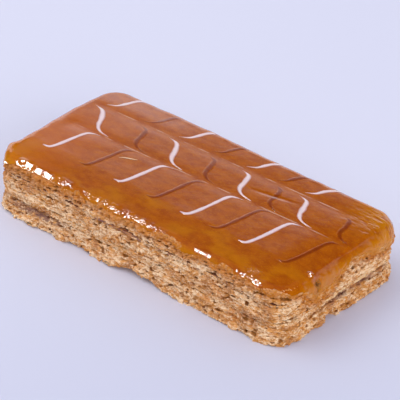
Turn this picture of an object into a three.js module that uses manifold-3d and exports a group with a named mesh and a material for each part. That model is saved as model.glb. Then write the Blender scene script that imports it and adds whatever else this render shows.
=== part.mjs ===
// A slice of mille feuille: three sheets of puff pastry with two thin beds of custard between
// them, under a poured caramel icing whose feathered pattern is drawn out along two creases.
// Millimetres, +Z up. The origin is the middle of the underside, +X runs along the slice and
// -Y is its front. The sheets' cut edges are rough, and the icing laps over them unevenly.
import * as THREE from 'three';
import { mergeVertices } from 'three/addons/utils/BufferGeometryUtils.js';
import { ImprovedNoise } from 'three/addons/math/ImprovedNoise.js';
import Module from 'manifold-3d';

const wasm = await Module();
wasm.setup();
const perlin = new ImprovedNoise();

// The slice's nominal outline in plan, at the mean face of its cut edges.
const HALF_LENGTH = 61.8;
const HALF_WIDTH = 29.9;
const CORNER = 7.8;
const GAP = 0.3; // clearance between neighbouring pieces

// Heights of the layers.
const BASE_TOP = 6.4;
const CUSTARD = 1.4; // thickness of the lower bed of custard
const MIDDLE_TOP = 13.9;
const SEAM = 0.9; // thickness of the upper bed, which is pressed thinner
const CROWN = 22.2; // highest level of the icing
const TOP_SHEET_TOP = 20;

// The icing.
const RIM = 2.2; // radius of its rounded edge
const SKIN = 0.8; // thickness of its skirt
const OVERLAP = 0.2; // how far its skirt stands proud of the pastry
const SKIRT_EDGE = 19.8; // level that the skirt reaches down to on the front
const FRONT_FALL = 0.8; // how far the top falls towards the front
const END_FALL = 1.2; // how far the top falls towards the right-hand end
const CREASE_DEPTH = 0.45;
const STROKE_RISE = 0.25; // how far the feathered lines stand up

// Places where the icing runs further down the side: centre, spread along the edge, and depth.
const DRIPS = [
  { x: 21.5, y: -30, spread: 3.4, depth: 1.9 },
  { x: -60, y: -27, spread: 5, depth: 2 },
  { x: 62, y: -10, spread: 3.5, depth: 6.4 },
  { x: 60, y: 24, spread: 9, depth: 4.2 },
  { x: 20, y: 30, spread: 9, depth: 1.5 },
  { x: -35, y: 30, spread: 6, depth: 1.8 },
  { x: -62, y: 12, spread: 5, depth: 1.6 },
];

// Places where the whole slice swells out or draws in a little: centre, spread and amount.
const SWELLS = [
  { x: 58, y: -28, spread: 12, amount: 0.6 },
  { x: 62, y: 20, spread: 13, amount: 0.9 },
  { x: -62, y: 4, spread: 14, amount: 0.7 },
  { x: 14, y: 30, spread: 18, amount: -0.4 },
  { x: -28, y: 30, spread: 10, amount: 0.3 },
];

// Hollows torn out of the cut edges: centre and half sizes of each.
const HOLLOWS = [
  { x: 1, y: -31.5, z: -0.4, rx: 12, ry: 4, rz: 2.8 }, // lifted stretch under the front
  { x: 63.5, y: -5.7, z: -0.5, rx: 5, ry: 3.2, rz: 4.2 }, // chip at the foot of the right end
  { x: -41, y: -31.6, z: 5.6, rx: 12, ry: 3.2, rz: 1.5 }, // open seam at the front left
  { x: 63.4, y: 8, z: 6.4, rx: 3.2, ry: 15, rz: 1.4 }, // open seam at the right-hand end
  { x: 62.8, y: -13, z: 17, rx: 2, ry: 1.5, rz: 1.8 }, // pit under the icing's edge
];

// Crags that stand out of the cut edges: centre, spread and rise of each.
const CRAGS = [
  { x: -61, y: -26, z: 12, spread: 6, rise: 0.7 },
  { x: -47, y: -30, z: 1, spread: 3, rise: 0.9 },
  { x: -8, y: -30, z: 1.5, spread: 2, rise: 0.9 },
  { x: 3, y: -30, z: 0.5, spread: 2.4, rise: 1.8 },
  { x: 62, y: 20, z: 9.5, spread: 4, rise: 0.5 },
];

// The feathered lines, white and brown by turns: place along the slice, and how far the knife
// drew each one along the back crease. The last one fades before the back row.
const FEATHERS = [
  { x: -48.5, colour: 'white', draw: 1 },
  { x: -31.8, colour: 'brown', draw: 0.6 },
  { x: -16.5, colour: 'white', draw: 0.9 },
  { x: -2.2, colour: 'brown', draw: 0.6 },
  { x: 12.2, colour: 'white', draw: 0.6 },
  { x: 24.6, colour: 'brown', draw: 0.4 },
  { x: 36.6, colour: 'white', draw: 0.7 },
  { x: 52.6, colour: 'brown', draw: 0.4, rows: ['front', 'middle'] },
];
const ROWS = ['front', 'middle', 'back'];
const STROKE_WIDTH = { white: 1.6, brown: 1.2 };
const STROKE_STATIONS = 6;

// Plan geometry ---------------------------------------------------------------------------------

// How far a point lies inside the nominal outline; negative outside it.
function inset(x, y) {
  const ex = Math.abs(x) - (HALF_LENGTH - CORNER);
  const ey = Math.abs(y) - (HALF_WIDTH - CORNER);
  return CORNER - Math.hypot(Math.max(ex, 0), Math.max(ey, 0)) - Math.min(Math.max(ex, ey), 0);
}

// Unit vector that points out of the slice at a point near its outline.
function outward(x, y) {
  const cx = THREE.MathUtils.clamp(x, CORNER - HALF_LENGTH, HALF_LENGTH - CORNER);
  const cy = THREE.MathUtils.clamp(y, CORNER - HALF_WIDTH, HALF_WIDTH - CORNER);
  return new THREE.Vector2(x - cx, y - cy).normalize();
}

// The outline as a closed shape of `count` evenly spaced points.
function outline(count) {
  const cx = HALF_LENGTH - CORNER;
  const cy = HALF_WIDTH - CORNER;
  const shape = new THREE.Shape();
  shape.moveTo(-cx, -HALF_WIDTH);
  shape.lineTo(cx, -HALF_WIDTH);
  shape.absarc(cx, -cy, CORNER, -Math.PI / 2, 0);
  shape.lineTo(HALF_LENGTH, cy);
  shape.absarc(cx, cy, CORNER, 0, Math.PI / 2);
  shape.lineTo(-cx, HALF_WIDTH);
  shape.absarc(-cx, cy, CORNER, Math.PI / 2, Math.PI);
  shape.lineTo(-HALF_LENGTH, -cy);
  shape.absarc(-cx, -cy, CORNER, Math.PI, Math.PI * 1.5);
  return new THREE.Shape(shape.getSpacedPoints(count).slice(0, -1));
}

const smooth = THREE.MathUtils.smoothstep;
const bump = (distance, spread) => Math.exp(-((distance / spread) ** 2));

// Solids ----------------------------------------------------------------------------------------

const WELD = 0.02; // vertices closer than this are one

// A geometry as a solid that can be joined and cut.
function solid(geometry) {
  geometry.deleteAttribute('normal');
  geometry.deleteAttribute('uv');
  const merged = mergeVertices(geometry, 1e-3);
  return new wasm.Manifold(new wasm.Mesh({
    numProp: 3,
    vertProperties: new Float32Array(merged.attributes.position.array),
    triVerts: new Uint32Array(merged.index.array),
  }));
}

// Moves every vertex of a geometry to where `place(x, y, z)` says.
function reshape(geometry, place) {
  const { position } = geometry.attributes;
  for (let i = 0; i < position.count; i += 1) {
    position.setXYZ(i, ...place(position.getX(i), position.getY(i), position.getZ(i)));
  }
  return geometry;
}

// Gives the slice its uneven outline, by the same amount in all its layers.
function settle(x, y, z) {
  const out = outward(x, y);
  const near = smooth(CORNER - inset(x, y), 1, CORNER);
  const swell = SWELLS.reduce((sum, s) => (
    sum + s.amount * bump(Math.hypot(x - s.x, y - s.y), s.spread)
  ), 0);
  return [x + out.x * swell * near, y + out.y * swell * near, z];
}

// Joins vertices that a cut has left almost together, and drops the faces that this closes up.
function weld(geometry, tolerance) {
  const merged = mergeVertices(geometry, tolerance);
  const faces = new Map();
  const corners = Array.from(merged.index.array);
  for (let i = 0; i < corners.length; i += 3) {
    const face = corners.slice(i, i + 3);
    const key = [...face].sort((a, b) => a - b).join();
    if (new Set(face).size < 3) continue;
    if (!faces.delete(key)) faces.set(key, face);
  }
  return flipSlivers(merged, [...faces.values()], tolerance / 10);
}

// Turns the long edge of every face flatter than `height`, so that no face is a mere line.
function flipSlivers(geometry, faces, height) {
  const point = (i) => new THREE.Vector3().fromBufferAttribute(geometry.attributes.position, i);
  const owner = new Map();
  faces.forEach((face, f) => face.forEach((a, k) => owner.set(`${a},${face[(k + 1) % 3]}`, f)));
  const changed = new Set();
  faces.forEach(([p, q, r], f) => {
    const edges = [[p, q, r], [q, r, p], [r, p, q]];
    const length = ([a, b]) => point(a).distanceTo(point(b));
    const [a, b, c] = edges.reduce((best, edge) => (length(edge) > length(best) ? edge : best));
    const area = new THREE.Triangle(point(a), point(b), point(c)).getArea();
    const other = owner.get(`${b},${a}`);
    if (2 * area > height * length([a, b]) || changed.has(f) || changed.has(other)) return;
    const d = faces[other].find((i) => i !== a && i !== b);
    faces[f] = [a, d, c];
    faces[other] = [d, b, c];
    changed.add(f).add(other);
  });
  geometry.setIndex(faces.flat());
  return geometry;
}

// A solid as the named mesh of a finished piece.
function mesh(name, body, { color, roughness }) {
  const { vertProperties, triVerts } = body.getMesh();
  const cut = new THREE.BufferGeometry();
  cut.setAttribute('position', new THREE.BufferAttribute(vertProperties, 3));
  cut.setIndex(new THREE.BufferAttribute(triVerts, 1));
  const geometry = weld(reshape(cut, settle), WELD);
  geometry.computeVertexNormals();
  const material = new THREE.MeshStandardMaterial({ color, roughness, metalness: 0 });
  const piece = new THREE.Mesh(geometry, material);
  piece.name = name;
  return piece;
}

const ROW_WANDER = 0.25; // how far a slab's inner rows rise and fall

// A slab between two levels whose wall stands off the outline by `relief(x, y, z, row)`.
function slab(bottom, top, count, rows, relief) {
  const depth = top - bottom;
  const block = new THREE.ExtrudeGeometry(outline(count), {
    depth, steps: rows, bevelEnabled: false,
  });
  return solid(reshape(block, (x, y, z) => {
    const row = Math.round((z / depth) * rows);
    const out = outward(x, y);
    const step = relief(x, y, z + bottom, row);
    const inner = row > 0 && row < rows;
    const lift = inner ? ROW_WANDER * perlin.noise(x / 3, y / 3, row * 7.3) : 0;
    return [x + out.x * step, y + out.y * step, z + bottom + lift];
  }));
}

// Pastry ----------------------------------------------------------------------------------------

const SHEET_COLUMNS = 126;
const SHEET_ROWS = 6;
const LEAF_STEP = 0.3; // how far every other leaf stands out
const CRAG_DEPTH = 0.75;
const PIT_DEPTH = 1.6;
const OUTERMOST = 0.65; // limit of the leaves' reach beyond the outline

// The rough cut edge of a sheet: leaves that stand out in turn, crags, and deep pits.
function leaves(x, y, z, row) {
  const leaf = row % 2 ? LEAF_STEP : -LEAF_STEP;
  const rough = CRAG_DEPTH * perlin.noise(x / 3.1, y / 3.1, z / 1.1);
  const wave = 0.5 * perlin.noise(x / 13, y / 13, z / 5 + 20);
  const pit = PIT_DEPTH * smooth(perlin.noise(x / 2.6 + 40, y / 2.6, z / 1.6), 0.28, 0.6);
  const rises = CRAGS.map((c) => (
    c.rise * bump(Math.hypot(x - c.x, y - c.y, z - c.z), c.spread)
  ));
  const reach = THREE.MathUtils.clamp(leaf + rough + wave - pit, -PIT_DEPTH, OUTERMOST);
  return reach + Math.max(...rises);
}

// A whole sheet, wider towards its foot by `flare`, with its two edges drawn in a little.
function sheet(bottom, top, flare) {
  return slab(bottom, top, SHEET_COLUMNS, SHEET_ROWS, (x, y, z, row) => {
    const edge = row === 0 || row === SHEET_ROWS ? LEAF_STEP : 0;
    return leaves(x, y, z, row) - edge + flare * (1 - (z - bottom) / (top - bottom));
  });
}

// An ellipsoid that is cut away.
function hollow({ x, y, z, rx, ry, rz }) {
  const ball = new THREE.SphereGeometry(1, 12, 8);
  ball.scale(rx, ry, rz);
  ball.translate(x, y, z);
  return solid(ball);
}

// Icing -----------------------------------------------------------------------------------------

// The two lengthwise creases that the knife left, as their place across the slice.
const frontCrease = (x) => THREE.MathUtils.mapLinear(x, -62, 62, 0.4, 4.6);
const backCrease = (x) => THREE.MathUtils.mapLinear(x, -62, 62, 15.8, 19.5);

// Level of the icing's top.
function crown(x, y) {
  const depth = Math.min(Math.max(RIM - inset(x, y) - OVERLAP, 0), RIM);
  const rim = RIM - Math.sqrt(RIM * RIM - depth * depth);
  const front = FRONT_FALL * smooth(-y, 15, 31);
  const end = END_FALL * smooth(x, 48, 62);
  const open = smooth(inset(x, y), 3, 8);
  const creases = bump(y - frontCrease(x), 1.3) + bump(y - backCrease(x), 1.3);
  return CROWN - rim - front - end - open * CREASE_DEPTH * creases;
}

// Level of the skirt's lower edge, at the rim point that lies straight out from (x, y).
function skirtEdge(x, y) {
  const out = outward(x, y);
  const gap = inset(x, y);
  const rx = x + out.x * gap;
  const ry = y + out.y * gap;
  const ends = 2.6 * smooth(rx, 52, 61) + 1.4 * smooth(-rx, 54, 61);
  const back = 1.2 * smooth(ry, 22, 29);
  const ragged = 0.6 * perlin.noise(rx / 4, ry / 4, 3.7);
  const runs = DRIPS.map((d) => d.depth * bump(Math.hypot(rx - d.x, ry - d.y), d.spread));
  return SKIRT_EDGE - ends - back + ragged - Math.max(...runs);
}

// Where the square rings of a box's top face go on the rounded outline.
function roundPlan(x, y) {
  const cx = HALF_LENGTH - CORNER;
  const cy = HALF_WIDTH - CORNER;
  const ex = Math.abs(x) - cx;
  const ey = Math.abs(y) - cy;
  if (ex <= 0 || ey <= 0) return [x, y];
  const scale = Math.max(ex, ey) / Math.hypot(ex, ey);
  return [Math.sign(x) * (cx + ex * scale), Math.sign(y) * (cy + ey * scale)];
}

const ICING_COLUMNS = 32;
const ICING_ROWS = 18;
const ICING_STEPS = 3;
const CORE_COLUMNS = 72;

// Distances from the rim to the grid's outer lines: those over the rounded edge lie closer.
const RIM_LINES = [0.3 * RIM, RIM, 4.7, CORNER];

// A block gridded to suit the icing, each point put where `place(x, y, level, rim)` says:
// level 0 is its underside and ICING_STEPS its top, and rim is true on its walls.
function icingBlock(place) {
  const block = new THREE.BoxGeometry(2, 2, ICING_STEPS, ICING_COLUMNS, ICING_ROWS, ICING_STEPS);
  const spread = (u, cells, half) => {
    const line = Math.round((1 - Math.abs(u)) * cells / 2);
    const share = Math.abs(u) / (1 - 6 / cells);
    const reach = half - (RIM_LINES[line] ?? (half - (half - CORNER) * share));
    return Math.sign(u) * reach;
  };
  return solid(reshape(block, (u, v, w) => {
    const [x, y] = roundPlan(spread(u, ICING_COLUMNS, HALF_LENGTH + OVERLAP),
      spread(v, ICING_ROWS, HALF_WIDTH + OVERLAP));
    const rim = Math.abs(u) > 0.999 || Math.abs(v) > 0.999;
    return place(x, y, Math.round(w + ICING_STEPS / 2), rim);
  }));
}

// The icing before its underside is cut out, with a rounded rim and a ragged foot.
function icingBlank() {
  return icingBlock((x, y, level, rim) => {
    if (level === ICING_STEPS) return [x, y, crown(x, y)];
    const foot = skirtEdge(x, y);
    if (!rim) return [x, y, foot];
    const out = outward(x, y);
    const drawnIn = 0.5 * bump(Math.hypot(x + 61, y + 25), 5);
    const bulge = 0.3 * perlin.noise(x / 5, y / 5, 9.1) + 0.4 * smooth(x, 55, 61) - drawnIn;
    const reach = RIM * [0.28, 0.3, 0.2][level] + bulge;
    const shoulder = crown(x, y) - 0.3 * RIM;
    return [x + out.x * reach, y + out.y * reach, foot + (shoulder - foot) * level / 2];
  });
}

// The space under the icing: the slice's core, drawn in under the skirt and the rim. It lies
// `clearance` below the icing, and its top flat is the top sheet's.
function core(clearance) {
  const top = TOP_SHEET_TOP + GAP - clearance;
  const skirt = OVERLAP - SKIN - clearance;
  const profile = [[0, -1], [0, top - 1.6], [-0.7, top - 0.6], [-2.6, top]];
  const depth = profile.length - 1;
  const block = new THREE.ExtrudeGeometry(outline(CORE_COLUMNS), {
    depth, steps: depth, bevelEnabled: false,
  });
  return solid(reshape(block, (x, y, z) => {
    const [offset, level] = profile[Math.round(z)];
    const out = outward(x, y).multiplyScalar(skirt + offset);
    return [x + out.x, y + out.y, level];
  }));
}

// Everything beside the core and above the skirt's edge: what the icing takes from the pastry.
function mantle() {
  const outer = icingBlock((x, y, level, rim) => {
    const out = outward(x, y);
    const reach = rim ? 3 * PIT_DEPTH : 0;
    const edge = level ? CROWN + level : skirtEdge(x, y) - GAP;
    return [x + out.x * reach, y + out.y * reach, edge];
  });
  return outer.subtract(core(GAP));
}

// Plan route of a feathered line in one row, from its back end to its front end.
function strokeRoute({ x, draw }, row) {
  const front = frontCrease(x);
  const back = backCrease(x);
  const routes = {
    front: [[6, front - 0.2], [3, front - 1.2], [1.2, front - 3], [0.4, -8], [-0.4, -14.5],
      [-1.2, -16.2], [-4, -16.6]],
    middle: [[-9 * draw, back - 1.6], [-4.5 * draw, back - 2.8], [-1.2, back - 6],
      [0.6, front + 4.6], [3.6, front + 2], [10, front + 0.6]],
    back: [[2.4, 28.6], [0, 26.4], [-1.4, back + 5.8], [-2.8, back + 3], [-6, back + 1.2]],
  };
  return new THREE.CatmullRomCurve3(routes[row].map(([dx, y]) => new THREE.Vector3(x + dx, y, 0)));
}

// One feathered line: a low ridge that narrows to both ends and follows the icing's top.
function stroke(feather, row) {
  const route = strokeRoute(feather, row);
  const block = new THREE.BoxGeometry(2, 2, 1, 1, 1, STROKE_STATIONS);
  return solid(reshape(block, (u, v, w) => {
    const t = w + 0.5;
    const { x, y } = route.getPoint(t);
    const along = route.getTangent(t);
    const width = STROKE_WIDTH[feather.colour] * (0.25 + 0.75 * Math.sin(Math.PI * t) ** 0.6);
    const side = u * width * (v > 0 ? 0.28 : 0.5);
    const px = x - along.y * side;
    const py = y + along.x * side;
    return [px, py, crown(x, y) + (v > 0 ? STROKE_RISE : -0.5)];
  }));
}

// The slice -------------------------------------------------------------------------------------

const PASTRY = { color: 0xc9975a, roughness: 0.85 };
const CREAM = { color: 0xe0c391, roughness: 0.5 };
const SOAKED = { color: 0xa9714f, roughness: 0.55 };
const CARAMEL = { color: 0xb3651f, roughness: 0.2 };

const SETBACK = 1; // how far the custard lies in from the outline
const BED_COLUMNS = 96;

const hollows = HOLLOWS.map(hollow);
const mantleSolid = mantle();

// A finished sheet, with the hollows torn out of it and room made for the icing.
function pastry(name, bottom, top, flare) {
  const whole = hollows.reduce((body, cut) => body.subtract(cut), sheet(bottom, top, flare));
  return mesh(name, whole.subtract(mantleSolid), PASTRY);
}

// A finished bed of custard, with a wavy edge set back between the sheets.
function bed(name, bottom, thickness, setback, material) {
  const body = slab(bottom, bottom + thickness, BED_COLUMNS, 2, (x, y, z) => (
    0.35 * perlin.noise(x / 4, y / 4, z) - setback
  ));
  return mesh(name, body.subtract(mantleSolid), material);
}

// The finished icing, with every feathered line fused to it.
function icing() {
  let body = icingBlank();
  for (const feather of FEATHERS) {
    for (const row of feather.rows ?? ROWS) body = body.add(stroke(feather, row));
  }
  return mesh('icing', body.subtract(core(0)), CARAMEL);
}

const slice = new THREE.Group();
slice.name = 'mille_feuille_slice';
slice.add(
  pastry('base_pastry', 0, BASE_TOP, 0.9),
  bed('lower_custard', BASE_TOP + GAP, CUSTARD, SETBACK, CREAM),
  pastry('middle_pastry', BASE_TOP + CUSTARD + 2 * GAP, MIDDLE_TOP, 0.3),
  bed('upper_custard', MIDDLE_TOP + GAP, SEAM, SETBACK, SOAKED),
  pastry('top_pastry', MIDDLE_TOP + SEAM + 2 * GAP, CROWN, 0), // the mantle levels its top
  icing(),
);

export default slice;
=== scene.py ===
import math

import bpy
import numpy as np
from mathutils import Matrix, Quaternion, Vector, noise


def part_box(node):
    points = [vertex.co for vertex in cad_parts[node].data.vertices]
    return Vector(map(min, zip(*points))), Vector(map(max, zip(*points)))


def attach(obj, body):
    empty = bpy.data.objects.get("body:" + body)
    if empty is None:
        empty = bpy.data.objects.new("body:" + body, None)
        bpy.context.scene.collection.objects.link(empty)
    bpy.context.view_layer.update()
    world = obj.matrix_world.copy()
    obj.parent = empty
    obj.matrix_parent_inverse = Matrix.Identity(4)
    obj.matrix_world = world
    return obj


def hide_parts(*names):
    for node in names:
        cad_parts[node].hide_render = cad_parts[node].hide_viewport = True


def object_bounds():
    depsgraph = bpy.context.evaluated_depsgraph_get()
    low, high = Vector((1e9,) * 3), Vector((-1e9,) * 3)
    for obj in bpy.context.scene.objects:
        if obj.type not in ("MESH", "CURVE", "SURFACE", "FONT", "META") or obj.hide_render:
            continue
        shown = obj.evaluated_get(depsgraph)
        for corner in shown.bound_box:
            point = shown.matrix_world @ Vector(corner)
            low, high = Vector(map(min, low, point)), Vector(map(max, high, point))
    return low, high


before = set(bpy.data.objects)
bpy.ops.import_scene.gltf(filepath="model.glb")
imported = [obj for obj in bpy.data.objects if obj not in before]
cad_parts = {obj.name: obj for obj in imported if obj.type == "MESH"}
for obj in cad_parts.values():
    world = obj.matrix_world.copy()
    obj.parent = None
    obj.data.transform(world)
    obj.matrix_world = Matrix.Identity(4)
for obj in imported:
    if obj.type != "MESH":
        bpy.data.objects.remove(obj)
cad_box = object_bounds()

# A slice of mille feuille: three sheets of puff pastry with thin beds of custard between them,
# under a poured caramel icing with feathered lines. Measures are in millimetres up to the point
# where a mesh gets them. +X runs along the slice, -Y is its front and +Z is up.
MM = 0.001

# The slice's outline in plan, and the icing, as the solids have them.
HALF_LENGTH, HALF_WIDTH, CORNER = 61.8, 29.9, 7.8
CROWN, RIM, OVERLAP = 22.2, 3.0, 0.2
SKIRT_EDGE, FRONT_FALL, END_FALL = 19.8, 0.8, 1.6
ICING_FLOOR = 20.2  # underside of the icing, over the top sheet

# Where the icing runs further down the side: place, spread along the edge, and depth.
DRIPS = ((21.5, -30, 3.4, 1.6), (-60, -27, 6, 2), (20, 30, 9, 1.5), (-35, 30, 6, 1.8),
         (-62, 12, 5, 1.6))
# The icing's edge on the right-hand end: place along Y, and the level it reaches down to.
RIGHT_EDGE = ((-27, 19.2), (-22, 18), (-19, 15), (-15, 12), (-11, 10.2), (-8, 10.4), (-5, 12.3),
              (-2, 14.3), (1, 16.3), (4, 17), (9, 16.5), (13, 15.4), (19, 14), (26, 12.8))
# Where the front rim is lumpy: place along the rim, spread, and the lumps' size and height.
LUMPY = ((-49, 9, 3.2, 0.6), (-34, 8, 2.6, 0.7), (-8, 16, 1.4, 0.4), (47, 7, 1.4, 0.4))
# Where the icing is so thin over the front rim that crumb shows through: place along the rim,
# and spread.
THIN_RIM = ((-25.5, 1.2), (-15, 1.4), (14, 6.5), (38, 3.5), (57, 4))
# How dull the icing's skin is over the front rim: place along the rim, and share.
DULL_RIM = ((-57.8, 0), (-56.8, 0.8), (-53.5, 0.8), (-52.9, 0), (-46.7, 0), (-46.3, 1),
            (-45.5, 1), (-45.1, 0), (-41.7, 0), (-41.3, 0.8), (-40.9, 0), (-36.4, 0),
            (-35.6, 0.55), (-32, 0.55), (-31.4, 0.1), (-29.2, 0.1), (-28, 0.7), (-19, 0.55),
            (-17, 0.4), (12, 0.4), (13.5, 1), (24, 1), (25, 0.25), (31, 0.25), (32, 1), (40, 1),
            (42, 0.4), (52, 0.4), (54, 1))
# Single knobs in the icing's edge: place, spread and height.
KNOBS = (((-61.5, -22, 19.5), 2.2, 1.1), ((-57, -29.3, 18), 1.5, 1.2),
         ((60.9, -15.4, 20.7), 1.2, 1.2))
# Small flat places in the icing's rim, which show the key lamp: place, half length and half
# width. They all face one way.
FACETS = (((-57, -30.1, 18.8), 1.2, 1.2), ((-48.1, -28.6, 21.2), 1.6, 1.2),
          ((-43.3, -28.9, 21), 1.7, 1), ((-39.1, -28.9, 21), 1.7, 1.1),
          ((60.8, -15.4, 21.2), 0.9, 1.3))
FACING = np.array((0, -0.608, 0.794))
# Where the whole slice swells out or draws in: place, spread and amount.
SWELLS = ((58, -28, 12, 0.6), (62, 20, 13, 0.9), (-62, 4, 14, 0.7), (14, 30, 18, -0.4),
          (-28, 30, 10, 0.3))
# The two creases in the icing's top: place along Y at the left-hand and the right-hand end.
FRONT_CREASE, BACK_CREASE = (0.4, 4.6), (15.8, 19.5)
# A small fold beside them: its ends along the slice, and across it.
FOLD_ALONG, FOLD_ACROSS = (17, 32), (9.6, 12.5)
# A short crack in the icing's top: its two ends.
CRACK_ENDS = ((-28.4, -5.6), (-22.8, -2.2))
# A deep pit in the right-hand end: its middle.
PIT_PLACE = (62.8, -13, 17)
# Where flakes hang at the foot of the front edge: place along it, and spread.
FOOT_FLAKES = ((-47, 5), (-31, 3), (-18, 3), (-8, 3), (3, 3), (22, 3), (40, 4))
# The feathered lines: place along the slice, colour, and how far the knife drew each one.
FEATHERS = ((-48.5, "white", 1), (-31.8, "brown", 0.6), (-16.5, "white", 0.9),
            (-2.2, "brown", 0.6), (12.2, "white", 0.6), (24.6, "brown", 0.4),
            (36.6, "white", 0.7), (52.6, "brown", 0.4))


# Plan and noise ----------------------------------------------------------------------------

def smooth(value, low, high):
    """0 below low and 1 above high, with a soft step in between."""
    t = np.clip((value - low) / (high - low), 0, 1)
    return t * t * (3 - 2 * t)


def bump(distance, spread):
    """1 at no distance, and near 0 from twice the spread on."""
    return np.exp(-(distance / spread) ** 2)


def inset(x, y):
    """How far a point lies inside the slice's outline."""
    ex, ey = np.abs(x) - (HALF_LENGTH - CORNER), np.abs(y) - (HALF_WIDTH - CORNER)
    return (CORNER - np.hypot(np.maximum(ex, 0), np.maximum(ey, 0))
            - np.minimum(np.maximum(ex, ey), 0))


def outward(x, y):
    """The way out of the slice at points near its outline, as two columns."""
    dx = x - np.clip(x, CORNER - HALF_LENGTH, HALF_LENGTH - CORNER)
    dy = y - np.clip(y, CORNER - HALF_WIDTH, HALF_WIDTH - CORNER)
    far = np.maximum(np.hypot(dx, dy), 1e-6)
    return dx / far, dy / far


def settle(x, y):
    """Gives points the slice's uneven outline."""
    ox, oy = outward(x, y)
    near = smooth(CORNER - inset(x, y), 1, CORNER)
    swell = sum(amount * bump(np.hypot(x - sx, y - sy), spread)
                for sx, sy, spread, amount in SWELLS)
    return x + ox * swell * near, y + oy * swell * near


def domes(points, size, seed):
    """Rounded lumps of about that size, 1 on their tops and near 0 between them."""
    at = points / size + seed
    near = np.array([noise.voronoi(Vector(p))[0][0] for p in at])
    return np.clip(1 - 1.4 * near ** 2, 0, 1)


def rough(points, size, seed=0.0):
    """Noise from about -1 to 1 at each point, with features of that size along X, Y and Z."""
    at = points / np.array(size, float) + seed
    return np.array([noise.noise(Vector(p)) for p in at])


# Meshes ------------------------------------------------------------------------------------

def pick(piece):
    """Makes a piece the only one that operators act on."""
    for other in bpy.context.selected_objects:
        other.select_set(False)
    piece.select_set(True)
    bpy.context.view_layer.objects.active = piece


def points_of(piece):
    at = np.empty(len(piece.data.vertices) * 3)
    piece.data.vertices.foreach_get("co", at)
    return at.reshape(-1, 3) / MM


def normals_of(piece):
    at = np.empty(len(piece.data.vertices) * 3)
    piece.data.vertices.foreach_get("normal", at)
    return at.reshape(-1, 3)


def put(piece, points):
    piece.data.vertices.foreach_set("co", (points * MM).ravel())
    piece.data.update()


def paint(piece, name, values):
    """Keeps one number for each vertex, for the piece's material."""
    layer = piece.data.attributes.new(name, "FLOAT", "POINT")
    layer.data.foreach_set("value", np.asarray(values, np.float32))


def painted(piece, name):
    values = np.empty(len(piece.data.vertices), np.float32)
    piece.data.attributes[name].data.foreach_get("value", values)
    return values


def apply(piece, kind, **settings):
    modifier = piece.modifiers.new(kind.lower(), kind)
    for key, value in settings.items():
        setattr(modifier, key, value)
    pick(piece)
    bpy.ops.object.modifier_apply(modifier=modifier.name)


def edit(piece, *steps):
    """Runs edit-mode operators on a piece."""
    pick(piece)
    bpy.ops.object.mode_set(mode="EDIT")
    for step in steps:
        step()
    bpy.ops.object.mode_set(mode="OBJECT")


def dress(piece, material):
    piece.data.materials.clear()
    piece.data.materials.append(material)
    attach(piece, "root")
    return piece


# Shader maths ------------------------------------------------------------------------------

class Wire:
    """An output of a material's node, on which sums can be written."""

    def __init__(self, finish, socket):
        self.finish, self.socket = finish, socket

    def math(self, operation, *values):
        return self.finish.node("Math", {"operation": operation}, *values)

    def __add__(self, other):
        return self.math("ADD", self, other)

    def __sub__(self, other):
        return self.math("SUBTRACT", self, other)

    def __rsub__(self, other):
        return self.math("SUBTRACT", other, self)

    def __mul__(self, other):
        return self.math("MULTIPLY", self, other)

    def __neg__(self):
        return self * -1

    def __abs__(self):
        return self.math("ABSOLUTE", self)

    __radd__, __rmul__ = __add__, __mul__

    def step(self, low, high):
        """0 below low and 1 above high."""
        return self.finish.node("MapRange", {"interpolation_type": "SMOOTHSTEP"}, self,
                                low, high, 0.0, 1.0)


class Finish:
    """A material whose nodes are made one by one."""

    def __init__(self, name, **constants):
        self.material = bpy.data.materials.new(name)
        self.material.use_nodes = True
        self.tree = self.material.node_tree
        self.shader = self.tree.nodes["Principled BSDF"]
        for key, value in constants.items():
            self.shader.inputs[key.replace("_", " ")].default_value = value
        self.place = self.node("TexCoord", {}, output="Object")

    def fill(self, socket, value):
        if isinstance(value, Wire):
            self.tree.links.new(value.socket, socket)
        elif socket.type == "RGBA" and len(value) == 3:
            socket.default_value = (*value, 1)
        else:
            socket.default_value = value

    def node(self, kind, settings, *values, output=0, **named):
        """Adds a node of a kind with its settings, then its sockets' values or links."""
        node = self.tree.nodes.new("ShaderNode" + kind)
        for key, value in settings.items():
            setattr(node, key, value)
        for index, value in enumerate(values):
            self.fill(node.inputs[index], value)
        for key, value in named.items():
            self.fill(node.inputs[key.replace("_", " ")], value)
        return Wire(self, node.outputs[output])

    def grain(self, size, stretch=(1, 1, 1), detail=3, seed=0.0):
        """Noise from 0 to 1 with features of about size millimetres."""
        across = self.node("Mapping", {}, self.place, (seed, seed, seed), (0, 0, 0),
                           tuple(1 / s for s in stretch))
        return self.node("TexNoise", {}, Vector=across, Scale=1 / (size * MM), Detail=detail)

    def along(self, axis):
        """Place along an axis, in millimetres."""
        return self.node("SeparateXYZ", {}, self.place, output=axis) * (1 / MM)

    def painted(self, name):
        return self.node("Attribute", {"attribute_name": name}, output="Fac")

    def mix(self, share, first, second):
        node = self.tree.nodes.new("ShaderNodeMix")
        node.data_type = "RGBA"
        for index, value in ((0, share), (6, first), (7, second)):
            self.fill(node.inputs[index], value)
        return Wire(self, node.outputs[2])

    def bump(self, height, depth):
        """Relief whose depth is in millimetres."""
        relief = self.node("Bump", {}, Strength=1.0, Distance=depth * MM, Height=height)
        self.fill(self.shader.inputs["Normal"], relief)
        return relief

    def cover(self, share, **named):
        """Lets a second shader take over by share."""
        second = self.node("BsdfPrincipled", {}, **named)
        both = self.node("MixShader", {}, share, Wire(self, self.shader.outputs[0]), second)
        self.fill(self.tree.nodes["Material Output"].inputs["Surface"], both)
        return self

    def set(self, **named):
        for key, value in named.items():
            self.fill(self.shader.inputs[key.replace("_", " ")], value)
        return self


# Colours and finishes ----------------------------------------------------------------------

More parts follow.
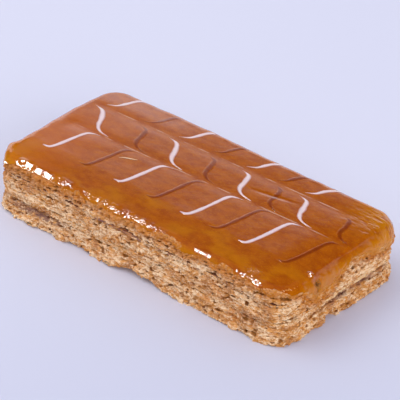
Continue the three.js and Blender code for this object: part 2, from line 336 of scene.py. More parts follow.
CRUST = (0.80, 0.385, 0.108)
STRAW = (0.96, 0.71, 0.44)
# Painted shade in the pastry's pits.
PIT_SHADE = (0.38, 0.145, 0.025)
ROAST = (0.54, 0.21, 0.03)
ROSE = (0.45, 0.195, 0.10)
# Mauve about the open seams: soaked crumb and painted shade.
SEAM_SHADE_AND_DAMP = (0.28, 0.12, 0.08)
STAIN = (0.60, 0.205, 0.02)
CUSTARD = (0.84, 0.58, 0.30)
SOAKED = (0.34, 0.13, 0.075)
CARAMEL = (0.445, 0.102, 0.001)
# Deeper caramel: the icing's mottling, and painted shade in its folds.
DEEP_CARAMEL = (0.352, 0.066, 0.001)
# Painted light: the icing's lighter colour towards its left-hand end.
LIT_CARAMEL = (0.56, 0.115, 0.001)
AMBER = (0.60, 0.21, 0.001)
# Painted shade for the deep pit in the right-hand end.
HOLLOW_SHADE = (0.10, 0.03, 0.008)
# Painted highlight along the icing's creases.
CREASE_HIGHLIGHT = (0.70, 0.42, 0.24)
WHITE = (0.83, 0.65, 0.65)
BROWN = (0.17, 0.016, 0.002)
# Painted highlight along the crack in the icing's top, and painted shadow beside it.
CRACK_HIGHLIGHT = ((0.90, 0.60, 0.28), (0.75, 0.40, 0.15))
CRACK_SHADOW = ((0.22, 0.06, 0.01), (0.32, 0.10, 0.01))
# Painted light on the floor: darker near the front, lighter far back.
FLOOR_SHADED_NEAR, FLOOR_LIT_FAR = (0.64, 0.65, 0.78), (0.74, 0.745, 0.865)


def baked(f, stain):
    """Colour and relief of puff pastry: straw and golden leaves with rosy, soaked patches, and
    pits darkened by painted shade.
    """
    leaves = f.grain(0.6, (3.5, 3.5, 1), detail=4)
    specks = f.grain(0.4, (2, 2, 1), seed=7.7, detail=2)
    patches = f.grain(4.5, (1.6, 1.6, 1), seed=3.1)
    tawny = f.grain(3, (1.5, 1.5, 0.8), seed=8.3)
    colour = f.mix((leaves + (patches - 0.5) * 0.9).step(0.4, 0.62), CRUST, STRAW)
    colour = f.mix((0.5 - patches).step(0.02, 0.16) * 0.6, colour, ROSE)
    colour = f.mix(tawny.step(0.53, 0.66) * 0.6, colour, ROAST)
    colour = f.mix(specks.step(0.52, 0.68) * 0.6, colour, ROAST)
    colour = f.mix(stain * (0.7 + f.grain(2.5, seed=1.3) * 0.6), colour, STAIN)
    # Painted shade: the deeper a point lies in a pit, the darker it is.
    colour = f.mix((-f.painted("relief")).step(0.1, 0.7) * 0.85, colour, PIT_SHADE)
    return colour, specks + leaves * 2


def pastry_finish(name):
    f = Finish(name, Roughness=0.85, Specular_IOR_Level=0.1)
    colour, relief = baked(f, f.painted("stain"))
    f.bump(relief, 0.14)
    colour = f.mix(f.painted("pale") * relief.step(0.9, 1.5), colour, STRAW)
    # Painted shade and soaked crumb: mauve about the open seams.
    return f.set(Base_Color=f.mix(f.painted("damp_and_seam_shade"), colour, SEAM_SHADE_AND_DAMP)).material


def crumb_finish(name):
    f = Finish(name, Roughness=0.8, Specular_IOR_Level=0.15)
    tint = f.painted("tint")
    colour, relief = baked(f, f.painted("stain"))
    colour = f.mix(tint.step(0.55, 1.0) * (0.6 - 0.45 * f.painted("stain")), colour, STRAW)
    colour = f.mix((1 - tint).step(0.6, 1.0) * 0.8, colour, ROAST)
    f.bump(relief, 0.06)
    # Painted shade and soaked crumb: mauve about the open seams.
    return f.set(Base_Color=f.mix(f.painted("damp_and_seam_shade") * (1.1 - tint * 0.7), colour, SEAM_SHADE_AND_DAMP)).material


def custard_finish(name, colour):
    f = Finish(name, Roughness=0.45, Subsurface_Weight=0.1, Subsurface_Scale=1.0 * MM)
    spots = f.grain(0.8, (2, 2, 1))
    f.bump(spots, 0.15)
    return f.set(Base_Color=f.mix(spots.step(0.4, 0.7) * 0.7, colour, CRUST)).material


def creases(f):
    """1 along the two sharp creases in the icing's top, and 0 beside them."""
    x, y = f.along("X"), f.along("Y")
    lines = 0
    for low, high in (FRONT_CREASE, BACK_CREASE):
        rise = (high - low) / (2 * HALF_LENGTH)
        off = abs(y - x * rise - (low + high) / 2)
        lines = lines + (1 - off.step(0.0, 0.4))
    return lines * (HALF_LENGTH - 6 - abs(x)).step(0, 10) * f.grain(7, seed=5.5).step(0.42, 0.6)


def caramel_colour(f):
    """The icing's colour, which its brown lines fade into."""
    mottle = f.grain(2.4, (1.5, 1, 1), detail=7)
    specks = f.grain(0.5, (1.6, 1, 1), detail=3, seed=4.4)
    colour = f.mix(mottle.step(0.3, 0.72), CARAMEL, DEEP_CARAMEL)
    blotches = f.grain(6, (1.6, 1, 1), seed=12.3).step(0.42, 0.62) * (-f.along("Y")).step(13, 19)
    colour = f.mix(blotches * 0.4, colour, AMBER)
    return f.mix(specks.step(0.5, 0.75) * 0.35, colour, AMBER)


def skin(f):
    """Relief of the icing's skin, in millimetres."""
    return (f.grain(1.0, (1.4, 1, 1), detail=5, seed=2.2) * 0.022
            + f.grain(5, (1.6, 1, 1), detail=3, seed=9.2) * 0.06)


ICING_GLOSS = dict(IOR=1.5, Subsurface_Weight=0.12, Subsurface_Scale=0.8 * MM,
                   Subsurface_Radius=(1.0, 0.35, 0.1))


def icing_finish(name):
    """Glossy caramel that turns dull in places, and where it is thin lets crumb show through."""
    f = Finish(name, **ICING_GLOSS)
    film = (f.painted("thin") + (f.grain(0.8, (2, 2, 1), detail=4) - 0.5) * 1.2).step(0.3, 0.7)
    dull = (f.painted("dull") + (f.grain(0.7, detail=3, seed=6.6) - 0.5) * 1.6).step(0.3, 0.5)
    soaked, crumb = baked(f, film * f.painted("stain"))
    # Painted shade: near black deep down in the pit in the right-hand end.
    soaked = f.mix((-f.painted("relief")).step(1.2, 2.6) * 0.8, soaked, HOLLOW_SHADE)
    crease = creases(f)
    # Painted light: the top lighter and warmer towards the left-hand end and the front.
    painted_light = (-f.along("X")).step(28, 52) * (-f.along("Y")).step(-40, 18)
    colour = f.mix(painted_light * 0.5, caramel_colour(f), LIT_CARAMEL)
    colour = f.mix(f.painted("amber"), colour, AMBER)
    # Painted highlight: a thin pale line along each crease.
    colour = f.mix(crease * 0.5, colour, CREASE_HIGHLIGHT)
    folds = (f.grain(1.3, (3, 1, 1), detail=2, seed=15.2) - 0.5) * f.painted("wrinkly")
    # Painted shade: darker where the folds dip.
    colour = f.mix(folds.step(0.02, 0.1) * 0.6, colour, DEEP_CARAMEL)
    bubbles = (f.grain(0.9, detail=2, seed=6.6) - 0.5) * f.painted("bubbly") * 0.28
    relief = f.bump(skin(f) - crease * 0.04 + bubbles + crumb * film * 0.16 - folds * 0.5, 1.0)
    f.set(Base_Color=colour, Roughness=0.15)
    return f.cover(film + dull * (1 - film), Base_Color=f.mix(film, colour, soaked),
                   Roughness=0.8, Specular_IOR_Level=0.02, Normal=relief).material


def white_finish(name):
    f = Finish(name, Roughness=0.3, Subsurface_Weight=0.1, Subsurface_Scale=0.5 * MM)
    fade = f.painted("edge")
    f.bump(f.grain(0.6), 0.05)
    return f.set(Base_Color=f.mix(fade, WHITE, caramel_colour(f))).material


def brown_finish(name):
    f = Finish(name, Roughness=0.14, **ICING_GLOSS)
    f.bump(skin(f), 1.0)
    fade = 0.34 + 0.66 * f.painted("edge")
    return f.set(Base_Color=f.mix(fade, BROWN, caramel_colour(f))).material


# Pastry and custard ------------------------------------------------------------------------

SHEET_CELL, BED_CELL = 0.245, 0.3  # size of the even faces that a layer is remade with
FLAT_MARGIN = 2.4  # how far in from the outline a layer's flats begin
ROUGH_MARGIN = 2.2  # how far in from the outline a layer's edge is rough


def open_flats():
    """Replaces each of the two flats, further in than its margin, by one face."""
    mesh = bpy.context.object.data
    bpy.ops.object.mode_set(mode="OBJECT")
    centres = np.array([p.center for p in mesh.polygons]) / MM
    deep = inset(centres[:, 0], centres[:, 1]) > FLAT_MARGIN
    mesh.polygons.foreach_set("select", deep)
    bpy.ops.object.mode_set(mode="EDIT")
    bpy.ops.mesh.delete(type="FACE")
    bpy.ops.mesh.select_mode(type="EDGE")
    bpy.ops.mesh.select_all(action="DESELECT")
    bpy.ops.mesh.select_non_manifold()
    bpy.ops.mesh.fill_holes(sides=0)


def layer_blank(node, name, cell):
    """A copy of a layer's solid, even and fine enough along its edge to be roughened."""
    piece = bpy.data.objects.new(name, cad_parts[node].data.copy())
    bpy.context.collection.objects.link(piece)
    edit(piece, lambda: bpy.ops.mesh.select_all(action="SELECT"),
         lambda: bpy.ops.mesh.remove_doubles(threshold=0.01 * MM))
    apply(piece, "REMESH", mode="VOXEL", voxel_size=cell * MM)
    edit(piece, lambda: bpy.ops.mesh.select_mode(type="FACE"), open_flats)
    apply(piece, "SMOOTH", iterations=2, factor=0.5)
    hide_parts(node)
    return piece


def near_edge(at):
    """1 along a layer's edge, and 0 further in than its rough margin."""
    return smooth(ROUGH_MARGIN - inset(at[:, 0], at[:, 1]), 0, 1.4)


def keep_within(points, box):
    low, high = (np.array(corner) / MM for corner in box)
    return np.clip(points, low, high)


def stain(at):
    """How much icing has soaked in at each point: all of it just under the skirt's edge."""
    x, y = at[:, 0], at[:, 1]
    ox, oy = outward(x, y)
    gap = inset(x, y)
    above = at[:, 2] - skirt_edge(x + ox * gap, y + oy * gap)
    above += 1.5 * rough(at, (5, 5, 2.5), 12.5)
    return smooth(above / (4 + 5 * smooth(-x, 20, 48)), -1, 0)


def damp_and_seam_shade(at):
    """Where the crumb is mauve about the open seams: partly custard soaked in, partly painted
    shade in the seams.
    """
    x, y, z = at.T
    left = smooth(1.6 - np.abs(z - 5.3), 0, 0.8) * bump(x + 42, 13) * (y < -20)
    right = smooth(1.3 - np.abs(z - 6.4), 0, 0.6) * bump(y - 8, 16) * (x > 50)
    return np.maximum(left, right) * smooth(rough(at, (2, 2, 1), 2.7), -0.5, 0.1)


def pale(at):
    """Where custard has soaked the crumb pale: over the open seams."""
    x, y, z = at.T
    left = smooth(1.8 - np.abs(z - 9), 0, 1) * bump(x + 40, 14) * (y < -20)
    right = smooth(1.4 - np.abs(z - 9), 0, 0.8) * bump(y - 8, 16) * (x > 50)
    return np.maximum(left, right)


def pastry_sheet(node, name, seed):
    """One sheet: thin leaves that end unevenly, crags between them, and deep pits."""
    piece = layer_blank(node, name, SHEET_CELL)
    at, out = points_of(piece), normals_of(piece)
    leaf = 0.5 * rough(at, (5, 5, 0.7), seed)
    crag = 0.45 * rough(at, (2.4, 2.4, 1.1), seed + 9) + 0.4 * rough(at, (5, 5, 2.5), seed + 3)
    pit = 0.75 * smooth(rough(at, (1.9, 1.9, 0.75), seed + 17), 0.2, 0.42)
    fine = 0.3 * rough(at, (0.8, 0.8, 0.5), seed + 31)
    amount = (leaf + crag - pit + fine) * near_edge(at)
    put(piece, keep_within(at + out * amount[:, None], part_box(node)))
    paint(piece, "relief", amount)
    paint(piece, "stain", stain(at))
    paint(piece, "damp_and_seam_shade", damp_and_seam_shade(at))
    paint(piece, "pale", pale(at))
    return dress(piece, PASTRY)


def custard_bed(node, name, slot, colour, seed):
    """One bed of filling, whose wall bulges and draws back between the sheets."""
    piece = layer_blank(node, name, BED_CELL)
    at, out = points_of(piece), normals_of(piece)
    wave = 0.9 + 0.6 * rough(at, (5, 5, 2), seed) + 0.4 * rough(at, (1.4, 1.4, 0.9), seed + 5)
    amount = wave * near_edge(at)
    wall = np.abs(out[:, 2]) < 0.7
    put(piece, keep_within(at + out * (amount * wall)[:, None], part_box(node)))
    paint(piece, "relief", amount)
    return dress(piece, custard_finish(slot, colour))


def flake(seed):
    """The points and faces of one small crumb, of unit size."""
    bpy.ops.mesh.primitive_ico_sphere_add(subdivisions=1, radius=1)
    blank = bpy.context.object
    rng = np.random.default_rng(seed)
    points = np.array([v.co for v in blank.data.vertices]) * rng.uniform(0.7, 1.25, (12, 1))
    faces = np.array([p.vertices[:] for p in blank.data.polygons])
    bpy.data.objects.remove(blank)
    return points, faces


def on_edge(layer):
    """A layer's points where crumbs cling: along its edge, but not in its pits or open seams."""
    at, out = points_of(layer), normals_of(layer)
    x, y, z = at.T
    right = (x > 55) & (y > -8) & (y < 23) & (np.abs(z - 6.9) < 1.3)
    front = (y < -25) & (x > -18) & (x < 15) & (np.abs(z - 14.8) < 0.6)
    bare = (right | front) & (rough(at, (2.5, 2.5, 1), 5.1) > -0.1)
    return ((inset(x, y) < 1.4) & (np.abs(out[:, 2]) < 0.75) & ~bare
            & (painted(layer, "relief") > -0.25))


def at_foot(layer):
    """A layer's points at the foot of the front edge, where larger flakes hang."""
    x, y, z = points_of(layer).T
    near = np.max([bump(x - place, spread) for place, spread in FOOT_FLAKES], axis=0)
    return (near > 0.4) & (z < 2) & (y < 0)


def crumbs(name, layer, where, count, seed, low=0.17, high=0.85):
    """Flakes between a low and a high size that cling to a layer at some of its points."""
    rng = np.random.default_rng(seed)
    at, out = points_of(layer), normals_of(layer)
    spot = rng.choice(np.flatnonzero(where), count, replace=False)
    n = out[spot] + rng.normal(0, 0.28, (count, 3))
    n /= np.linalg.norm(n, axis=1)[:, None]
    level = np.cross((0, 0, 1), n)
    level /= np.linalg.norm(level, axis=1)[:, None]
    turn = rng.normal(0, 0.4, count)[:, None]
    along = level * np.cos(turn) + np.cross(n, level) * np.sin(turn)
    across = np.cross(n, along)
    size = np.exp(rng.uniform(math.log(low), math.log(high), count))[:, None]
    shapes = [flake(seed + k) for k in range(4)]
    kind = np.arange(count) % len(shapes)
    shape = np.array([points for points, _ in shapes])[kind]
    corners = shapes[0][1]
    axes = np.stack([along * 1.15, across * 0.48, n * 0.3], 1) * size[:, None]
    everywhere = np.einsum("cpk,cka->cpa", shape, axes) + (at[spot] + n * size * 0.08)[:, None]
    everywhere = keep_within(everywhere.reshape(-1, 3), cad_box)
    faces = corners[None] + (np.arange(count) * shape.shape[1])[:, None, None]
    mesh = bpy.data.meshes.new(name)
    mesh.from_pydata(everywhere * MM, [], faces.reshape(-1, 3).tolist())
    piece = bpy.data.objects.new(name, mesh)
    bpy.context.collection.objects.link(piece)
    paint(piece, "tint", np.repeat(rng.uniform(0, 1, count), shape.shape[1]))
    paint(piece, "stain", stain(everywhere))
    paint(piece, "damp_and_seam_shade", damp_and_seam_shade(everywhere))
    return dress(piece, CRUMB)


# Icing -------------------------------------------------------------------------------------

def front_crease(x):
    return np.interp(x, (-HALF_LENGTH, HALF_LENGTH), FRONT_CREASE)


def back_crease(x):
    return np.interp(x, (-HALF_LENGTH, HALF_LENGTH), BACK_CREASE)


def crown(x, y):
    """Level of the icing's top, with its rounded rim, its two creases and small folds."""
    depth = np.clip(RIM - inset(x, y) - OVERLAP, 0, RIM)
    rim = RIM - np.sqrt(RIM ** 2 - depth ** 2)
    flat = smooth(inset(x, y), 3, 8)
    groove = 0
    for line in (front_crease(x), back_crease(x)):
        groove = groove + 0.13 * bump(y - line, 2.8)
    fold = 0.2 * bump(y - np.interp(x, FOLD_ALONG, FOLD_ACROSS), 0.7) * bump(x - 24.5, 6)
    front = FRONT_FALL * (np.clip(-y - 15, 0, 16) / 16) ** 1.2
    dent = 0.6 * smooth(-y, 23, 28.5) * bump(x - 47, 6.5)
    back = 0.5 * smooth(y, 17, 30) * smooth(-x, 12, 42)
    end = END_FALL * (np.clip(x - 46, 0, 16) / 16) ** 1.9 * (0.4 + 0.6 * smooth(-y, -14, 4))
    swell = 0.05 * rough(np.stack([x, y, 0 * x], 1), (12, 7, 1), 1.5)
    return CROWN - rim - front - dent - back - end + flat * (swell - groove - fold)


def skirt_edge(x, y):
    """Level that the icing's skirt reaches down to, at a point on the rim."""
    at = np.stack([x, y, np.zeros_like(x)], 1)
    ragged = 0.6 * rough(at, (4, 4, 4), 3.7) + 0.4 * rough(at, (1.3, 1.3, 1), 8.1)
    runs = np.max([depth * bump(np.hypot(x - dx, y - dy), spread)
                   for dx, dy, spread, depth in DRIPS], axis=0)
    sides = SKIRT_EDGE - runs - 1.4 * smooth(-x, 54, 61) - 1.2 * smooth(y, 22, 29)
    right = np.interp(y, *zip(*RIGHT_EDGE))
    share = smooth(x, 52, 61)
    return sides + (right - sides) * share + ragged * (1 + share)


CELL = 0.33  # spacing of the icing's grid
SKIRT_ROOM = 8.0  # width of the grid that becomes rim and skirt
FILM = 1.0  # how far a thin film of icing runs on over the pastry
LIP_RINGS = 3  # outermost rings of the grid, which turn under the skirt's edge
RIM_START = RIM - OVERLAP  # how far inside the outline the rim begins


def lumps(at, x):
    """Lumps on the front rim, and gentler ones all along the rim."""
    amount = 0.15 * rough(at, (5, 5, 5), 2.5)
    for place, spread, size, height in LUMPY:
        shape = domes(at, size, 5.5) + 0.3 * rough(at, (size, size, size), 5.5) - 0.5
        amount = amount + shape * height * bump(x - place, spread) * (at[:, 1] < 0)
    for place, spread, height in KNOBS:
        amount = amount + height * bump(np.linalg.norm(at - place, axis=1), spread)
    return amount


def facets(at):
    """Flattens the small flat places in the rim, so that all of each faces one way."""
    for place, half, width in FACETS:
        off = at - place
        near = (smooth(half - np.abs(off[:, 0]), -0.2, 0.2)
                * smooth(width - np.hypot(off[:, 1], off[:, 2]), -0.2, 0.2))
        middle = near @ at / near.sum()
        at = at - np.outer((at - middle) @ FACING * near, FACING)
    return at


def flattened(x, run):
    """How much flatter the front rim is where it has its largest lumps."""
    return -0.28 * bump(run - 2.2, 1.3) * bump(x + 42, 15)


def round_corners(x, y):
    """Moves the points of a grid with square corners so that its corners are round."""
    cx, cy = HALF_LENGTH - CORNER, HALF_WIDTH - CORNER
    ex, ey = np.abs(x) - cx, np.abs(y) - cy
    corner = (ex > 0) & (ey > 0)
    scale = np.where(corner, np.maximum(ex, ey) / np.maximum(np.hypot(ex, ey), 1e-9), 1)
    return (np.where(corner, np.sign(x) * (cx + ex * scale), x),
            np.where(corner, np.sign(y) * (cy + ey * scale), y))


def paint_skin(piece, x, y, run, front):
    """Where the icing is amber, soaked in, wrinkled, dull along the front rim, or bubbly."""
    paint(piece, "amber", 0.85 * bump(np.hypot(x - 60, y - 27), 10)
          + 0.4 * bump(np.hypot(x + 60, y + 27), 12) + 0.7 * smooth(run, 2, 6) * (x > 50)
          + 0.6 * smooth(run, 1.5, 4) * (y < -20) * (x < 50))
    paint(piece, "stain", 1 - 0.4 * smooth(x, 54, 60))
    paint(piece, "wrinkly", bump(np.hypot(x - 58, y - 23), 7.5))
    paint(piece, "dull", np.interp(x, *zip(*DULL_RIM)) * front)
    sparkling = smooth(x, -26, -20) * smooth(-x, -14, -11) * smooth(-y, 26.3, 28)
    corner_sparkles = 1.4 * bump(np.hypot((x - 46.5) / 2.2, y + 26), 2)
    paint(piece, "bubbly", (sparkling + corner_sparkles) * (1 - smooth(run, 1.5, 3)))


def poured_icing():
    """A fine sheet of icing that covers the top, rounds over the edge and ends unevenly."""
    half_x, half_y = (half - RIM_START + SKIRT_ROOM for half in (HALF_LENGTH, HALF_WIDTH))
    columns, rows = round(2 * half_x / CELL), round(2 * half_y / CELL)
    bpy.ops.mesh.primitive_grid_add(x_subdivisions=columns, y_subdivisions=rows, size=2)
    piece = bpy.context.object
    piece.name = piece.data.name = "caramel_icing"
    u, v = points_of(piece)[:, :2].T * MM
    ring = np.rint(np.minimum((1 - np.abs(u)) * columns / 2, (1 - np.abs(v)) * rows / 2))
    x, y = round_corners(u * half_x, v * half_y)

    # Each point beyond the start of the rim gets a length of run down over the edge.
    ox, oy = outward(x, y)
    beyond = np.maximum(RIM_START - inset(x, y), 0)
    bx, by = x - ox * beyond, y - oy * beyond  # where the rim begins
    rim = beyond > 0
    front = rim * (y < -20)
    top = crown(bx, by)
    foot = skirt_edge(bx + ox * RIM_START, by + oy * RIM_START) - FILM
    drop = np.maximum(top - foot, 0.5)
    turn = np.arccos(np.clip(1 - drop / RIM, 0, 1))
    length = RIM * turn + np.maximum(drop - RIM, 0)
    share = np.clip(beyond / (SKIRT_ROOM - LIP_RINGS * CELL), 0, 1)
    run = share * length
    angle = np.minimum(run / RIM, turn)
    bulge = 0.25 + 0.75 * smooth(bx, 50, 58)
    reach = RIM * np.sin(angle) + bulge * smooth(run, RIM, 2.2 * RIM)
    fall = RIM * (1 - np.cos(angle)) + np.maximum(run - RIM * turn, 0)
    # The skirt thins out into the pastry, and its last rings turn under and up.
    reach = reach + (RIM_START - 0.6 - reach) * smooth(run - length, -1.8, 0)
    long_film = 0.3 + 0.45 * smooth(bx, 52, 58)
    thin = smooth(run - length, -1.7 - long_film * np.maximum(drop - RIM, 0), -0.6) * rim
    bare = np.max([bump(x - place, spread) for place, spread in THIN_RIM], axis=0) * (y < -20)
    thin = np.maximum(thin, smooth(run + 0.5 * bare, 1.2, 3.4) * smooth(bare, 0.05, 0.9) * rim)
    fall = np.where(ring == 2, fall + 0.12, fall)
    reach = reach - np.select([ring == 2, ring == 1, ring == 0], [0.2, 0.4, 0.6], 0)
    level = np.where(rim, top - fall, crown(x, y))
    level = np.where(ring == 0, np.minimum(ICING_FLOOR, top - 0.6), level)
    at = np.stack([np.where(rim, bx + ox * reach, x), np.where(rim, by + oy * reach, y),
                   level], 1)
    at[:, 0], at[:, 1] = settle(at[:, 0], at[:, 1])
    wavy = 0.35 * rough(at, (8, 8, 30), 21.5) * smooth(RIM_START - inset(x, y), -2, 2)
    at[:, :2] += np.stack([ox, oy], 1) * wavy[:, None]
    put(piece, at)

    # Lumps, crumb relief and the pit move the points along their normals.
    out = normals_of(piece)
    edge = smooth(RIM_START - inset(x, y), -0.8, 1.4) * (ring > 1)
    crag = 0.4 * rough(at, (2.2, 2.2, 1.2), 16.5) + 0.3 * rough(at, (0.9, 0.9, 0.6), 38.5)
    far = np.linalg.norm((at - PIT_PLACE) / (1, 1.6, 2.1), axis=1)
    pit = 2 * bump(far + 0.7 * rough(at, (1.1, 1.1, 1.1), 4.5), 0.9)
    wrinkles = rough(at, (4, 1.3, 2), 11.5) * bump(np.hypot(x - 57, y - 22), 8)
    uneven = 0.3 * rough(at, (2.2, 2.2, 5), 13.5) * smooth(at[:, 0], 58, 62) * smooth(run, 2.5, 5)
    skin_relief = (lumps(at, x) * edge + wrinkles * (0.1 + 0.15 * rim) + uneven
                   + flattened(x, run) * front)
    amount = skin_relief * (1 - thin) + crag * thin * (ring > 1) - pit
    put(piece, keep_within(facets(at + out * amount[:, None]), cad_box))
    thin_or_pit = np.maximum(thin, smooth(pit, 0.2, 1))
    paint(piece, "thin", np.where(ring >= LIP_RINGS, thin_or_pit, thin))
    paint(piece, "relief", crag * thin - 1.5 * pit)
    paint_skin(piece, x, y, run, front)

    # One large face closes the underside.
    edit(piece, lambda: bpy.ops.mesh.select_mode(type="EDGE"),
         lambda: bpy.ops.mesh.select_all(action="DESELECT"),
         bpy.ops.mesh.select_non_manifold,
         bpy.ops.mesh.edge_face_add,
         lambda: bpy.ops.mesh.select_all(action="SELECT"),
         bpy.ops.mesh.normals_make_consistent)
    bpy.ops.object.shade_smooth()
    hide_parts("icing")
    return dress(piece, ICING)


def route(x, draw, row, share):
    """Points along a feathered line in one row, from its back end to its front end."""
    front, back = float(front_crease(x)), float(back_crease(x))
    knots = {
        "front": [(7, front - 0.2), (4, front - 0.8), (1.9, front - 2.6), (0.8, -7),
                  (-0.2, -13), (-1.4, -16.1), (-4.2, -16.7)],
        "middle": [(-9.1 * draw, back - 1.4), (-4.5 * draw ** 2, back - 2.8),
                   (1.8 - 3 * draw, back - 6.6), (1.2, front + 4.4), (3.9, front + 2),
                   (9, front + 0.9)],
        "back": [(2.4, 28.6), (0, 26.4), (-1.4, back + 5.8), (-2.8, back + 3),
                 (-6, back + 1.2)],
    }[row]
    p = np.array(knots) + (x, 0)
    p = np.vstack([2 * p[0] - p[1], p, 2 * p[-1] - p[-2]])
    place = share * (len(knots) - 1)
    i = np.minimum(place.astype(int), len(knots) - 2)
    t = (place - i)[:, None]
    a, b, c, d = p[i], p[i + 1], p[i + 2], p[i + 3]
    return 0.5 * (2 * b + (c - a) * t + (2 * a - 5 * b + 4 * c - d) * t ** 2
                  + (3 * b - a - 3 * c + d) * t ** 3)


def feather_line(x, draw, row, width, rise):
    """One line: a long drop, pointed at both ends, that lies on the icing."""
    bpy.ops.mesh.primitive_uv_sphere_add(segments=16, ring_count=90, radius=1)
    line = bpy.context.object
    ball = points_of(line) * MM
    share = np.arccos(np.clip(ball[:, 2], -1, 1)) / math.pi
    girth = np.maximum(np.hypot(ball[:, 0], ball[:, 1]), 1e-9)
    side, up = ball[:, 0] / girth, ball[:, 1] / girth
    middle = route(x, draw, row, share)
    ahead = route(x, draw, row, np.minimum(share + 0.01, 1)) - route(
        x, draw, row, np.maximum(share - 0.01, 0))
    ahead /= np.linalg.norm(ahead, axis=1)[:, None]
    along = np.stack([middle[:, 0], middle[:, 1], np.full(len(middle), x)], 1)
    taper = {"front": smooth(share, 0, 0.4) * (1 - 0.5 * smooth(share, 0.84, 0.97)),
             "middle": smooth(share, 0, 0.3) * (1 - 0.8 * smooth(share, 0.45, 0.95)) * 1.25,
             "back": 1 - 0.8 * smooth(share, 0.5, 0.95)}[row]
    half = 0.5 * width * (0.2 + 0.8 * taper) * np.sin(np.pi * share) ** 0.3 * (
        1 + 0.25 * rough(along, (2.5, 2.5, 9)))
    px = middle[:, 0] - ahead[:, 1] * side * half
    py = middle[:, 1] + ahead[:, 0] * side * half
    level = crown(px, py) + np.where(up > 0, rise * up, 0.4 * up) * np.minimum(
        1, np.sin(np.pi * share) ** 0.5)
    px, py = settle(px, py)
    put(line, keep_within(np.stack([px, py, level], 1), cad_box))
    paint(line, "edge", smooth(np.maximum(np.abs(side) * 0.9, 1 - half / width * 2.4), 0.3, 1))
    return line


def feathers(colour, width, rise, finish):
    """All the feathered lines of one colour, as one piece."""
    lines = []
    for x, hue, draw in FEATHERS:
        if hue != colour:
            continue
        rows = ("front", "middle") if x > 50 else ("front", "middle", "back")
        lines += [feather_line(x, draw, row, width, rise) for row in rows]
    pick(lines[0])
    for line in lines:
        line.select_set(True)
    bpy.ops.object.join()
    piece = lines[0]
    piece.name = piece.data.name = f"{colour}_feathering"
    bpy.ops.object.shade_smooth()
    slot = f"{colour}_icing"
    return dress(piece, finish(slot))


def sliver(name, shift, half, colours):
    """A thin sliver along the crack in the icing's top, moved across it by shift, coloured as
    painted light.
    """
    bpy.ops.mesh.primitive_uv_sphere_add(segments=10, ring_count=40, radius=1)
    piece = bpy.context.object
    piece.name = piece.data.name = name
    ball = points_of(piece) * MM
    share = np.arccos(np.clip(ball[:, 2], -1, 1)) / math.pi
    girth = np.sin(np.pi * share) ** 0.6 / np.maximum(np.hypot(ball[:, 0], ball[:, 1]), 1e-9)
    (ax, ay), (bx, by) = CRACK_ENDS
    off = shift + half * ball[:, 0] * girth + 0.25 * np.sin(5 * share)
    slant = math.atan2(by - ay, bx - ax)
    x = ax + (bx - ax) * share - math.sin(slant) * off
    y = ay + (by - ay) * share + math.cos(slant) * off
    put(piece, np.stack([x, y, crown(x, y) + 0.12 * ball[:, 1] * girth], 1))
    bpy.ops.object.shade_smooth()
    f = Finish(name, Roughness=0.4)
    f.set(Base_Color=f.mix(f.grain(0.6), *colours))
    return dress(piece, f.material)


# The slice ---------------------------------------------------------------------------------

PASTRY = pastry_finish("baked_pastry")
CRUMB = crumb_finish("pastry_crumbs")
ICING = icing_finish("caramel_icing")

base = pastry_sheet("base_pastry", "bottom_sheet", 1.5)
middle = pastry_sheet("middle_pastry", "middle_sheet", 4.5)
top = pastry_sheet("top_pastry", "top_sheet", 7.5)
lower = custard_bed("lower_custard", "lower_filling", "custard", CUSTARD, 2.5)
upper = custard_bed("upper_custard", "upper_filling", "soaked_custard", SOAKED, 6.5)
icing = poured_icing()
for name, layer, count, seed in (("bottom_crumbs", base, 8500, 11),
                                 ("middle_crumbs", middle, 8000, 12),
                                 ("top_crumbs", top, 6500, 13)):
    crumbs(name, layer, on_edge(layer), count, seed)
crumbs("foot_flakes", base, on_edge(base) & at_foot(base), 110, 17, 0.9, 2.1)
for name, layer, count, seed in (("filling_crumbs", lower, 3000, 14),
                                 ("seam_crumbs", upper, 2200, 15)):
    crumbs(name, layer, on_edge(layer), count, seed, 0.3, 0.8)
crumbs("icing_crumbs", icing, painted(icing, "thin") > 0.6, 3600, 16)
feathers("white", 1.8, 0.13, white_finish)
feathers("brown", 1.9, 0.04, brown_finish)
# A pale sliver as a painted highlight along the crack, and a dark one beside it as its painted
# shadow.
sliver("crack_highlight_sliver", 0, 0.24, CRACK_HIGHLIGHT)
sliver("crack_shadow_sliver", -0.4, 0.14, CRACK_SHADOW)


# Stage, light and camera -------------------------------------------------------------------

def stage_floor():
    bpy.ops.mesh.primitive_plane_add(size=6, location=(0, 0, 0))
    floor = bpy.context.object
    floor.name = "floor"
    f = Finish("floor_paper", Roughness=0.9, Specular_IOR_Level=0.1)
    # Painted light: the floor lighter towards the back left and darker towards the front.
    far = (f.along("Y") * 0.77 - f.along("X") * 0.63).step(-130, 60)
    colour = f.mix(far, FLOOR_SHADED_NEAR, FLOOR_LIT_FAR)
    floor.data.materials.append(f.set(Base_Color=colour).material)


def softbox(name, towards, distance, size, power, colour=(1, 1, 1), mirrored=True, soft=True,
            slant=0):
    """A rectangular lamp that shines at the slice from a direction, turned by slant degrees.

    It lights matte surfaces if it is soft, and shows in glossy ones if it is mirrored.
    """
    way = Vector(towards).normalized()
    light = bpy.data.lights.new(name, "AREA")
    light.shape, light.energy, light.color = "RECTANGLE", power, colour
    light.size, light.size_y = size
    lamp = bpy.data.objects.new(name, light)
    bpy.context.collection.objects.link(lamp)
    lamp.location = way * distance
    turn = Quaternion((0, 0, 1), math.radians(slant))
    lamp.rotation_euler = (way.to_track_quat("Z", "Y") @ turn).to_euler()
    lamp.visible_glossy, lamp.visible_diffuse = mirrored, soft


KEY_SIDE = (-0.53, -0.35, 0.77)
BACKDROP_BLUE, FILL_CREAM = (0.93, 0.94, 1.0), (1.0, 0.975, 0.95)

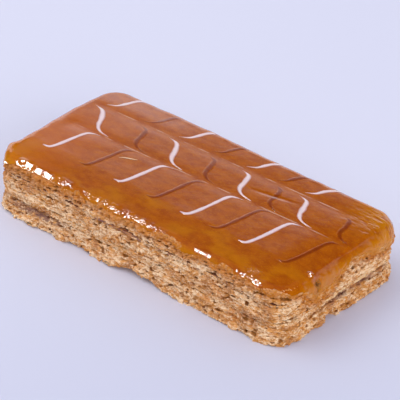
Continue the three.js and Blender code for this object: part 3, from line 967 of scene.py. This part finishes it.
stage_floor()
softbox("key_softbox", KEY_SIDE, 1.2, (1.2, 0.9), 5.0, mirrored=False)
softbox("key_glint", KEY_SIDE, 1.2, (0.45, 0.5), 110, soft=False)
for name, lift, height, power, soft in (("backdrop_low", 0.165, 1.02, 7.2, True),
                                        ("backdrop_middle", 0.20, 1.15, 4.4, False),
                                        ("backdrop_high", 0.235, 1.26, 4.1, False)):
    softbox(name, (-0.6, 0.75, lift), 1.6, (2.6, height), power, BACKDROP_BLUE, soft=soft,
            slant=8)
softbox("end_streak", (0.55, 0.65, 0.35), 1.4, (0.4, 0.9), 0.9, soft=False)
softbox("side_fill", (0.95, -0.28, 0.4), 1.4, (1.2, 0.9), 8.6, FILL_CREAM, mirrored=False)

world = bpy.data.worlds.new("studio")
bpy.context.scene.world = world
world.use_nodes = True
world.node_tree.nodes["Background"].inputs["Color"].default_value = (0.80, 0.82, 0.95, 1)
world.node_tree.nodes["Background"].inputs["Strength"].default_value = 0.72
world.cycles_visibility.glossy = False  # its reflections come from the lamps

IMAGE_WIDTH, FOCAL_LENGTH = 400, 2616  # in pixels
SENSOR = 36  # width in millimetres
DISTANCE, ASIDE, LIFT = 872.1, 2.52, 12.72  # of the camera, in millimetres

azimuth, elevation, roll = (math.radians(d) for d in (39.26, 32.66, 2.04))
back = Vector((math.sin(azimuth) * math.cos(elevation),
               -math.cos(azimuth) * math.cos(elevation), math.sin(elevation)))
level = Vector((math.cos(azimuth), math.sin(azimuth), 0))
rise = back.cross(level)
across = level * math.cos(roll) + rise * math.sin(roll)
upright = rise * math.cos(roll) - level * math.sin(roll)
lens = bpy.data.cameras.new("camera")
lens.sensor_width, lens.lens = SENSOR, FOCAL_LENGTH / IMAGE_WIDTH * SENSOR
lens.clip_start, lens.clip_end = 0.05, 20
camera = bpy.data.objects.new("camera", lens)
bpy.context.collection.objects.link(camera)
place = (back * DISTANCE + across * ASIDE + upright * LIFT) * MM
camera.matrix_world = Matrix((
    (across.x, upright.x, back.x, place.x),
    (across.y, upright.y, back.y, place.y),
    (across.z, upright.z, back.z, place.z),
    (0, 0, 0, 1)))
bpy.context.scene.camera = camera
bpy.context.scene.view_settings.view_transform = "Standard"
